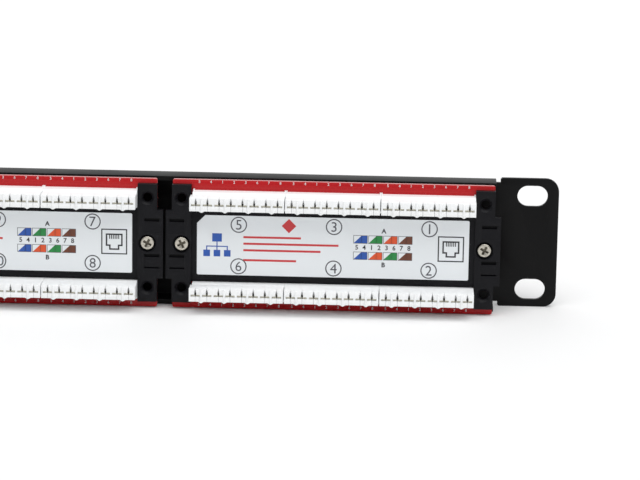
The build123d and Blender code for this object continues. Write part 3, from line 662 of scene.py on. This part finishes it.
# --- Punch-down contacts -----------------------------------------------------------------------------------
# Flat forks stamped from tinned phosphor bronze. The two prongs cut the insulation of a wire that is pressed
# in between them. They stand in the blocks' pockets, and only their ends show.
TINNED = turned_metal("tinned_bronze", colour=(0.56, 0.54, 0.45), dull=(0.44, 0.42, 0.35), roughness=0.32,
                      ring_scale=1500.0)
for module in range(1, MODULES + 1):
    contacts = nodes[f"idc_contacts_{module}"]
    contacts.data.materials.clear()
    contacts.data.materials.append(TINNED)

# --- Punch-down blocks -------------------------------------------------------------------------------------
# White blocks moulded in flame-retardant plastic. Teeth part the eight wire slots, and all edges are soft.
# The upper and the lower row of the first board are finished, and every board gets the same two rows.


def block_rows_tree():
    """A finished upper row and a finished lower row, set at a board's two contact lines."""
    tree, given, result = new_tree("block_rows", [
        ("Upper Blocks", "NodeSocketObject"), ("Upper Place", "NodeSocketVector"),
        ("Lower Blocks", "NodeSocketObject"), ("Lower Place", "NodeSocketVector"),
        ("Material", "NodeSocketMaterial")])
    both = tree.nodes.new("GeometryNodeJoinGeometry")
    for row in ("Upper", "Lower"):
        source = tree.nodes.new("GeometryNodeObjectInfo")
        source.inputs["As Instance"].default_value = True
        placed = tree.nodes.new("GeometryNodeTransform")
        tree.links.new(given.outputs[f"{row} Blocks"], source.inputs["Object"])
        tree.links.new(source.outputs["Geometry"], placed.inputs["Geometry"])
        tree.links.new(given.outputs[f"{row} Place"], placed.inputs["Translation"])
        tree.links.new(placed.outputs["Geometry"], both.inputs["Geometry"])
    solid = tree.nodes.new("GeometryNodeRealizeInstances")
    coat = tree.nodes.new("GeometryNodeSetMaterial")
    tree.links.new(both.outputs["Geometry"], solid.inputs["Geometry"])
    tree.links.new(solid.outputs["Geometry"], coat.inputs["Geometry"])
    tree.links.new(given.outputs["Material"], coat.inputs["Material"])
    tree.links.new(coat.outputs["Geometry"], result.inputs["Geometry"])
    return tree


def contact_lines(module):
    """The middle of each row's contact line on a board, at the board's own depth."""
    low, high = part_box(f"idc_contacts_{module}")
    middle = (low.x + high.x) / 2
    return {"upper": Vector((middle, 0, high.z - CONTACT_THICKNESS / 2)),
            "lower": Vector((middle, 0, low.z + CONTACT_THICKNESS / 2))}


TOOTH_ROUNDING = 0.06 * MM
TOOTH_SHARP = 30


def finished_row(row):
    """One row of the first board's blocks, its edges rounded, moved to its own contact line."""
    side = 1 if row == "upper" else -1
    form = bmesh.new()
    form.from_mesh(nodes["punch_down_blocks_1"].data)
    bmesh.ops.remove_doubles(form, verts=form.verts, dist=JOINED)
    others = [corner for corner in form.verts if corner.co.z * side < 0]
    bmesh.ops.delete(form, geom=others, context="VERTS")
    bmesh.ops.dissolve_limit(form, angle_limit=FLAT_ANGLE, verts=form.verts, edges=form.edges)
    bmesh.ops.translate(form, verts=form.verts, vec=-contact_lines(1)[row])
    mesh = bpy.data.meshes.new(f"{row}_row")
    form.to_mesh(mesh)
    form.free()
    blocks = piece_of(mesh, f"{row}_row")
    round_edges(blocks, TOOTH_ROUNDING, 2, TOOTH_SHARP)
    return blocks


WHITE = moulded("white_moulding", colour=(0.86, 0.87, 0.875), patch=(0.89, 0.90, 0.905), roughness=0.34,
                spread=0.12, pebble_scale=3500.0, pebble_depth=0.008 * MM, edge=(0.93, 0.93, 0.93),
                edge_amount=0.3)
rows = {row: finished_row(row) for row in ("upper", "lower")}
block_rows = block_rows_tree()
for module in range(1, MODULES + 1):
    lines = contact_lines(module)
    blocks = grown(f"punch_down_blocks_{module}.finished", block_rows,
                   {"Upper Blocks": rows["upper"], "Upper Place": lines["upper"],
                    "Lower Blocks": rows["lower"], "Lower Place": lines["lower"]}, WHITE)
    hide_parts(f"punch_down_blocks_{module}")
    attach(blocks, "panel")
for blocks in rows.values():
    bpy.data.objects.remove(blocks)

# --- Rear frames -------------------------------------------------------------------------------------------
# Black moulded frames that cover the middle and the ends of each board, with wells for the screws.
# The mould was etched, so the plastic has a fine even grain.
BLACK = moulded("black_moulding", colour=(0.0048, 0.0048, 0.0062), patch=(0.0070, 0.0070, 0.0088),
                roughness=0.34, spread=0.16, pebble_scale=3000.0, pebble_depth=0.02 * MM,
                edge=(0.040, 0.040, 0.046), edge_amount=0.5, shine=0.15)
FRAME_ROUNDING = 0.15 * MM
for module in range(1, MODULES + 1):
    rear_frame = rounded_off(f"rear_frame_{module}", FRAME_ROUNDING, BLACK)

# --- Labels ------------------------------------------------------------------------------------------------
# White film stickers on the frames. They are printed with six ringed port numbers, the two wiring orders
# as rows of colours, and plain symbols.
FILM = moulded("white_film", colour=(0.79, 0.82, 0.84), patch=(0.82, 0.85, 0.87), roughness=0.34,
               spread=0.10, pebble_scale=1800.0, pebble_depth=0.004 * MM, edge=(0.9, 0.92, 0.93),
               edge_amount=0.2)
FILM_ROUNDING = 0.03 * MM
for module in range(1, MODULES + 1):
    label = rounded_off(f"rear_label_{module}", FILM_ROUNDING, FILM, segments=1)

INK_COLOURS = {"grey": (0.075, 0.075, 0.09), "black": (0.012, 0.012, 0.016), "blue": (0.010, 0.085, 0.42),
               "red": (0.62, 0.03, 0.035), "orange": (0.78, 0.085, 0.012), "green": (0.006, 0.25, 0.045),
               "brown": (0.145, 0.034, 0.010), "white": (0.86, 0.86, 0.86)}
INKS = {name: ink(f"ink_{name}", colour) for name, colour in INK_COLOURS.items()}


def outline(points):
    """A flat mark from its corners, in order, in metres."""
    mesh = bpy.data.meshes.new("mark")
    mesh.from_pydata([(x, y, 0) for x, y in points], [], [list(range(len(points)))])
    return mesh


def bar(x0, x1, y0, y1):
    """A flat rectangle between two corners, in millimetres."""
    return outline([(x0 * MM, y0 * MM), (x1 * MM, y0 * MM), (x1 * MM, y1 * MM), (x0 * MM, y1 * MM)])


def hoop_tree():
    """Flat printed rings, one at each point of a line."""
    tree, given, result = new_tree("printed_hoops", [
        ("Count", "NodeSocketInt"), ("Spacing", "NodeSocketFloat"), ("Centre", "NodeSocketVector"),
        ("Radius", "NodeSocketFloat"), ("Line Width", "NodeSocketFloat"), ("Thickness", "NodeSocketFloat"),
        ("Material", "NodeSocketMaterial")])
    line = row_points(tree, given, "Count", "Spacing", "Centre")
    circle = tree.nodes.new("GeometryNodeCurvePrimitiveCircle")
    circle.inputs["Resolution"].default_value = 48
    stroke = tree.nodes.new("GeometryNodeCurvePrimitiveQuadrilateral")
    sweep = tree.nodes.new("GeometryNodeCurveToMesh")
    spread = tree.nodes.new("GeometryNodeInstanceOnPoints")
    spread.inputs["Rotation"].default_value = (math.radians(90), 0, 0)
    solid = tree.nodes.new("GeometryNodeRealizeInstances")
    coat = tree.nodes.new("GeometryNodeSetMaterial")
    tree.links.new(given.outputs["Radius"], circle.inputs["Radius"])
    tree.links.new(given.outputs["Line Width"], stroke.inputs["Width"])
    tree.links.new(given.outputs["Thickness"], stroke.inputs["Height"])
    tree.links.new(circle.outputs["Curve"], sweep.inputs["Curve"])
    tree.links.new(stroke.outputs["Curve"], sweep.inputs["Profile Curve"])
    tree.links.new(line.outputs["Mesh"], spread.inputs["Points"])
    tree.links.new(sweep.outputs["Mesh"], spread.inputs["Instance"])
    tree.links.new(spread.outputs["Instances"], solid.inputs["Geometry"])
    tree.links.new(solid.outputs["Geometry"], coat.inputs["Geometry"])
    tree.links.new(given.outputs["Material"], coat.inputs["Material"])
    tree.links.new(coat.outputs["Geometry"], result.inputs["Geometry"])
    return tree


COLUMNS = 3
HOOP_SPACING = 31.4 * MM
HOOP_SHIFT = -0.35 * MM
HOOP_HEIGHT = 7.0 * MM
HOOP_RADIUS = 2.52 * MM
HOOP_LINE = 0.38 * MM
NUMBER_HEIGHT = 3.3 * MM
CELL_WIDTH = 2.46
TABLE_LEFT = 6.93
WIRE_NUMBERS_LEFT = 6.65
PAIR_GAP = 0.55
CELL_LINE = 0.16
ROW_A = ("blue", "green", "orange", "brown")
ROW_B = ("blue", "orange", "green", "brown")
TABLE_ROWS = ((1.8, 4.25), (-3.65, -1.3))
WIRE_NUMBER_HEIGHT = 1.6 * MM
WIRE_NUMBERS_RISE = 0.35 * MM
HEADING_WEIGHT = 0.03
HEADING_RISES = {"A": 6.0 * MM, "B": -5.4 * MM}
hoops = hoop_tree()
wire_glyphs = {digit: glyphs(digit, WIRE_NUMBER_HEIGHT, DIGIT_WEIGHT) for digit in WIRE_ORDER}
heading = {letter: glyphs(letter, WIRE_NUMBER_HEIGHT, HEADING_WEIGHT) for letter in HEADING_RISES}


def colour_cells(colours, bottom, top):
    """Marks for one row of wire colours: for each pair, a half-coloured cell and a solid one."""
    cells = {}
    for pair, colour in enumerate(colours):
        left = TABLE_LEFT + 2 * pair * CELL_WIDTH
        middle, right = left + CELL_WIDTH, left + 2 * CELL_WIDTH - PAIR_GAP
        half = outline([(left * MM, bottom * MM), (middle * MM, bottom * MM), (middle * MM, top * MM)])
        cells.setdefault(colour, []).extend([half, bar(middle, right, bottom, top)])
    return cells


def pair_frames(bottom, top):
    """Marks for the thin lines round the four pairs of a row, and between a pair's two cells."""
    lines = []
    for pair in range(len(ROW_A)):
        left = TABLE_LEFT + 2 * pair * CELL_WIDTH
        middle, right = left + CELL_WIDTH, left + 2 * CELL_WIDTH - PAIR_GAP
        lines += [bar(left - CELL_LINE, right + CELL_LINE, edge, edge + CELL_LINE)
                  for edge in (bottom - CELL_LINE, top)]
        lines += [bar(edge, edge + CELL_LINE, bottom, top) for edge in (left - CELL_LINE, middle, right)]
    return lines


SYMBOL_HALF = 4.3
SYMBOL_LINE = 0.4
MOUTH_LINE = 0.5
MOUTH_HALF = 2.8
MOUTH_TOP = 2.7
SHOULDER = -1.5
KEYWAY_HALF = 1.7
KEYWAY_FLOOR = -2.8
PRONG_HALF = 0.16
PRONG_LENGTH = 1.3
PRONGS = (-1.5, -0.9, -0.3, 0.3, 0.9, 1.5)


def jack_symbol():
    """A plain symbol of a socket: a square outline, the stepped mouth and its contacts."""
    inner = SYMBOL_HALF - SYMBOL_LINE
    ceiling = MOUTH_TOP - MOUTH_LINE
    step = SHOULDER + MOUTH_LINE
    keyway = KEYWAY_HALF - MOUTH_LINE
    marks = [bar(-MOUTH_HALF, MOUTH_HALF, ceiling, MOUTH_TOP),
             bar(-keyway, keyway, KEYWAY_FLOOR, KEYWAY_FLOOR + MOUTH_LINE)]
    for near, far in ((-SYMBOL_HALF, -inner), (inner, SYMBOL_HALF)):
        marks += [bar(-SYMBOL_HALF, SYMBOL_HALF, near, far), bar(near, far, -inner, inner)]
    for side in (-1, 1):
        for near, far, bottom, top in ((MOUTH_HALF - MOUTH_LINE, MOUTH_HALF, step, ceiling),
                                       (keyway, MOUTH_HALF, SHOULDER, step),
                                       (keyway, KEYWAY_HALF, KEYWAY_FLOOR, SHOULDER)):
            marks.append(bar(*sorted((side * near, side * far)), bottom, top))
    return marks + [bar(x - PRONG_HALF, x + PRONG_HALF, ceiling - PRONG_LENGTH, ceiling) for x in PRONGS]


LINK_HALF = 0.18
HUB_HALF = 1.6
HUB_BOTTOM = 1.2
HUB_TOP = 4.0
BUS_HALF = 3.6
BUS_BOTTOM = -0.55
BUS_TOP = -0.2
LEAF_HALF = 1.1
LEAF_TOP = -1.6
LEAF_BOTTOM = -3.8
LEAVES = (-3.4, 0.0, 3.4)


def network_symbol():
    """A plain symbol of a network: three small squares below a larger one, joined by lines."""
    marks = [bar(-HUB_HALF, HUB_HALF, HUB_BOTTOM, HUB_TOP), bar(-LINK_HALF, LINK_HALF, BUS_TOP, HUB_BOTTOM),
             bar(-BUS_HALF, BUS_HALF, BUS_BOTTOM, BUS_TOP)]
    for x in LEAVES:
        marks += [bar(x - LINK_HALF, x + LINK_HALF, LEAF_TOP, BUS_BOTTOM),
                  bar(x - LEAF_HALF, x + LEAF_HALF, LEAF_BOTTOM, LEAF_TOP)]
    return marks


def diamond(radius):
    """A flat mark: a square on its corner, in metres."""
    return outline([(radius * math.sin(turn), radius * math.cos(turn)) for turn in
                    (0, math.pi / 2, math.pi, 1.5 * math.pi)])


JACK_SYMBOL_PLACE = Vector((-38.9 * MM, 0, 0.4 * MM))
NETWORK_SYMBOL_PLACE = Vector((38.2 * MM, 0, 0))
DIAMOND_PLACE = Vector((14.5 * MM, 0, 6.95 * MM))
DIAMOND_RADIUS = 2.4 * MM
RULE_HALF = 0.35
RED_RULES = ((2.9, -29.5, -10.5), (0.7, -29.5, 1.9), (-1.5, -29.5, -4.0), (-4.85, -29.5, -12.0))
for module in range(1, MODULES + 1):
    low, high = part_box(f"rear_label_{module}")
    centre = Vector(((low.x + high.x) / 2, high.y, (low.z + high.z) / 2))

    for row, z in (("odd", HOOP_HEIGHT), ("even", -HOOP_HEIGHT)):
        rings = grown(f"number_rings_{row}_{module}", hoops,
                      {"Count": COLUMNS, "Spacing": HOOP_SPACING,
                       "Centre": (centre.x + HOOP_SHIFT, centre.y, z), "Radius": HOOP_RADIUS,
                       "Line Width": HOOP_LINE, "Thickness": 2 * INK_THICKNESS}, INKS["grey"])
        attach(rings, "panel")

    numbers = []
    for column in range(COLUMNS):
        x = centre.x + HOOP_SHIFT + (column - (COLUMNS - 1) / 2) * HOOP_SPACING
        port = JACKS * (module - 1) + 2 * column + 1
        numbers.append((glyphs(str(port), NUMBER_HEIGHT), REAR, (x, centre.y, HOOP_HEIGHT)))
        numbers.append((glyphs(str(port + 1), NUMBER_HEIGHT), REAR, (x, centre.y, -HOOP_HEIGHT)))
    for bottom, top in TABLE_ROWS:
        numbers += [(mark, REAR, centre) for mark in pair_frames(bottom, top)]
    stamped(f"label_numbers_{module}", numbers, INKS["grey"])

    wiring = []
    for place, digit in enumerate(WIRE_ORDER):
        x = centre.x - (WIRE_NUMBERS_LEFT + (place + 0.5) * CELL_WIDTH) * MM
        wiring.append((wire_glyphs[digit], REAR, (x, centre.y, WIRE_NUMBERS_RISE)))
    table_middle = centre.x - (TABLE_LEFT + WIRES * CELL_WIDTH / 2) * MM
    for letter, rise in HEADING_RISES.items():
        wiring.append((heading[letter], REAR, (table_middle, centre.y, rise)))
    wiring += [(mark, REAR, centre + JACK_SYMBOL_PLACE) for mark in jack_symbol()]
    stamped(f"label_wiring_numbers_{module}", wiring, INKS["black"])

    colours = {}
    for row, (bottom, top) in zip((ROW_A, ROW_B), TABLE_ROWS):
        for colour, cells in colour_cells(row, bottom, top).items():
            colours.setdefault(colour, []).extend((cell, REAR, centre) for cell in cells)
    colours["blue"] += [(mark, REAR, centre + NETWORK_SYMBOL_PLACE) for mark in network_symbol()]
    colours["red"] = [(bar(left, right, z - RULE_HALF, z + RULE_HALF), REAR, centre)
                      for z, left, right in RED_RULES]
    colours["red"].append((diamond(DIAMOND_RADIUS), REAR, centre + DIAMOND_PLACE))
    for colour, marks in colours.items():
        stamped(f"label_{colour}_{module}", marks, INKS[colour])

# --- Module screws -----------------------------------------------------------------------------------------
# Nickel-plated pan-head screws with a cross recess. Each clamps a frame and its board to a standoff.
# The heads are cold formed and slightly scuffed where the driver turned in them.
SHADE_DEPTH = 0.15 * MM
head_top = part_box("module_screws_1")[1].y
# The nickel darkens below a small depth under the head's top: painted shade in the cross recess and round
# the head.
NICKEL = turned_metal("nickel_plate", colour=(0.70, 0.66, 0.58), dull=(0.34, 0.32, 0.27), roughness=0.18,
                      ring_scale=1200.0, shade_below=head_top - SHADE_DEPTH)
SCREW_ROUNDING = 0.08 * MM
for module in range(1, MODULES + 1):
    screws = rounded_off(f"module_screws_{module}", SCREW_ROUNDING, NICKEL)

# --- Jacks -------------------------------------------------------------------------------------------------
# Black moulded sockets, six on each board, whose noses stand through the windows in the panel.
# Each has eight gold-plated spring wires over its mouth, which run back in grooves to the board.
JACK_BLACK = moulded("jack_moulding", colour=(0.007, 0.007, 0.008), patch=(0.010, 0.010, 0.011),
                     roughness=0.26, spread=0.12, pebble_scale=4000.0, pebble_depth=0.01 * MM,
                     edge=(0.045, 0.045, 0.048), edge_amount=0.4, shine=0.25)
GOLD = turned_metal("gold_plate", colour=(0.83, 0.60, 0.24), dull=(0.72, 0.50, 0.19), roughness=0.16,
                    ring_scale=2000.0)
JACK_ROUNDING = 0.08 * MM
for module in range(1, MODULES + 1):
    rounded_off(f"jack_housings_{module}", JACK_ROUNDING, JACK_BLACK)
    wires = nodes[f"jack_spring_wires_{module}"]
    wires.data.materials.clear()
    wires.data.materials.append(GOLD)

# --- Port numbers on the front -----------------------------------------------------------------------------
# White numbers screen printed on the powder coat, one above each jack.
PORT_NUMBER_HEIGHT = 2.3 * MM
JACK_GAP = 0.3 * MM
NOSE_STEP = 0.5 * MM
plate_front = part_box("steel_panel")[0].y
for module in range(1, MODULES + 1):
    low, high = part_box(f"jack_housings_{module}")
    holder_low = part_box(f"label_holder_{module}")[0]
    pitch = (high.x - low.x + JACK_GAP) / JACKS
    nose_top = high.z - NOSE_STEP
    numbers = []
    for jack in range(JACKS):
        x = (low.x + high.x) / 2 + (jack - (JACKS - 1) / 2) * pitch
        port = JACKS * (module - 1) + jack + 1
        numbers.append((glyphs(str(port), PORT_NUMBER_HEIGHT, DIGIT_WEIGHT), FRONT,
                        (x, plate_front, (nose_top + holder_low.z) / 2)))
    stamped(f"port_numbers_{module}", numbers, SILK_WHITE)

# --- Label holders, paper strips and covers ----------------------------------------------------------------
# Black trays on the front, a paper strip in each, and a clear cover that snaps in over the paper.
# A cover comes straight off by its finger tab.
PAPER = moulded("paper", colour=(0.84, 0.84, 0.82), patch=(0.80, 0.80, 0.78), roughness=0.80, spread=0.10,
                pebble_scale=3000.0, pebble_depth=0.02 * MM, edge=(0.9, 0.9, 0.88), edge_amount=0.1)


def clear_plastic():
    """Polished clear plastic, with faint handling marks in its gloss."""
    material, parts, links, shader = material_named("clear_cover")
    skin = placed_group(parts, PEBBLED, {"Colour": (0.93, 0.95, 0.96, 1),
                                         "Patch Colour": (0.90, 0.93, 0.95, 1), "Patch Scale": 120.0,
                                         "Roughness": 0.05, "Roughness Spread": 0.08})
    links.new(skin.outputs["Colour"], shader.inputs["Base Color"])
    links.new(skin.outputs["Roughness"], shader.inputs["Roughness"])
    shader.inputs["Alpha"].default_value = 0.14
    return material


CLEAR = clear_plastic()
PAPER_ROUNDING = 0.02 * MM
COVER_ROUNDING = 0.08 * MM
for module in range(1, MODULES + 1):
    rounded_off(f"label_holder_{module}", FRAME_ROUNDING, BLACK)
    rounded_off(f"paper_strip_{module}", PAPER_ROUNDING, PAPER, segments=1)
    rounded_off(f"label_cover_{module}", COVER_ROUNDING, CLEAR)
